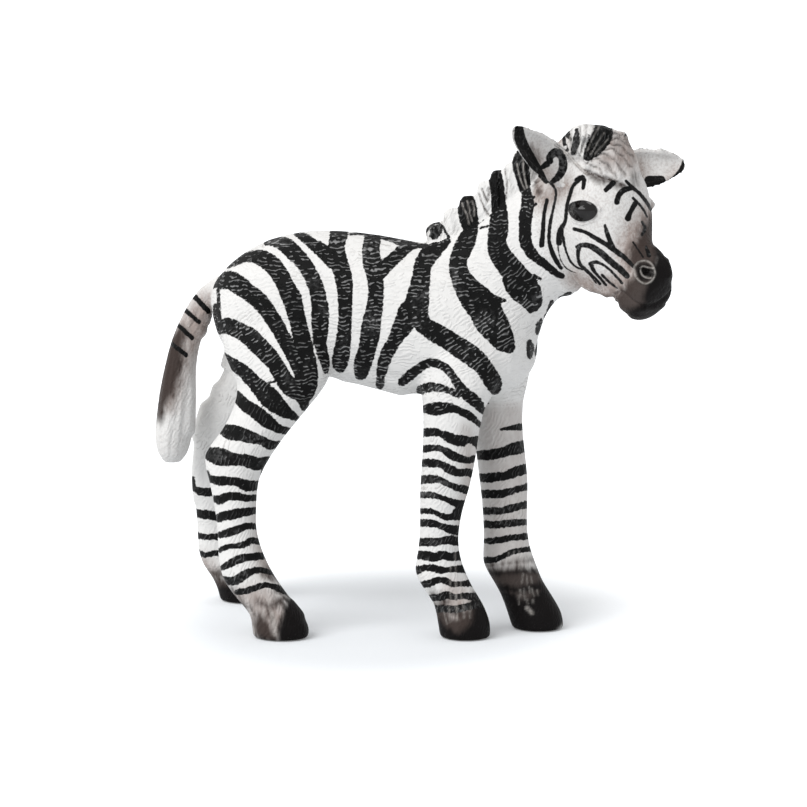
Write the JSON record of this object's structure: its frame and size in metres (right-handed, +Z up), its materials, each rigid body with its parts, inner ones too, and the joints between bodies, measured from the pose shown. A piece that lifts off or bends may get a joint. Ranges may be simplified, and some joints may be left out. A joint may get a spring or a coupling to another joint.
{
  "type": "toy wild animal figure",
  "caption": "Small solid moulded zebra foal standing on four legs with its head turned to its right, to rest on a flat surface.",
  "frame": {"origin": "on the ground under the middle of the figure's bounding box", "axes": "+X towards the front of the trunk, +Y to the foal's left, +Z up"},
  "size_m": [0.061, 0.0236, 0.0573],
  "materials": {
    "coat": "solid PVC painted with black stripes, satin",
    "mane": "solid PVC painted in black and white tufts, satin",
    "tail": "solid PVC with a brownish grey wash, satin"
  },
  "bodies": {
    "root": {"trunk": "coat", "head": "coat", "right_ear": "coat", "left_ear": "coat", "mane": "mane", "tail": "tail", "right_foreleg": "coat", "left_foreleg": "coat", "right_hind_leg": "coat", "left_hind_leg": "coat"}
  },
  "joints": []
}
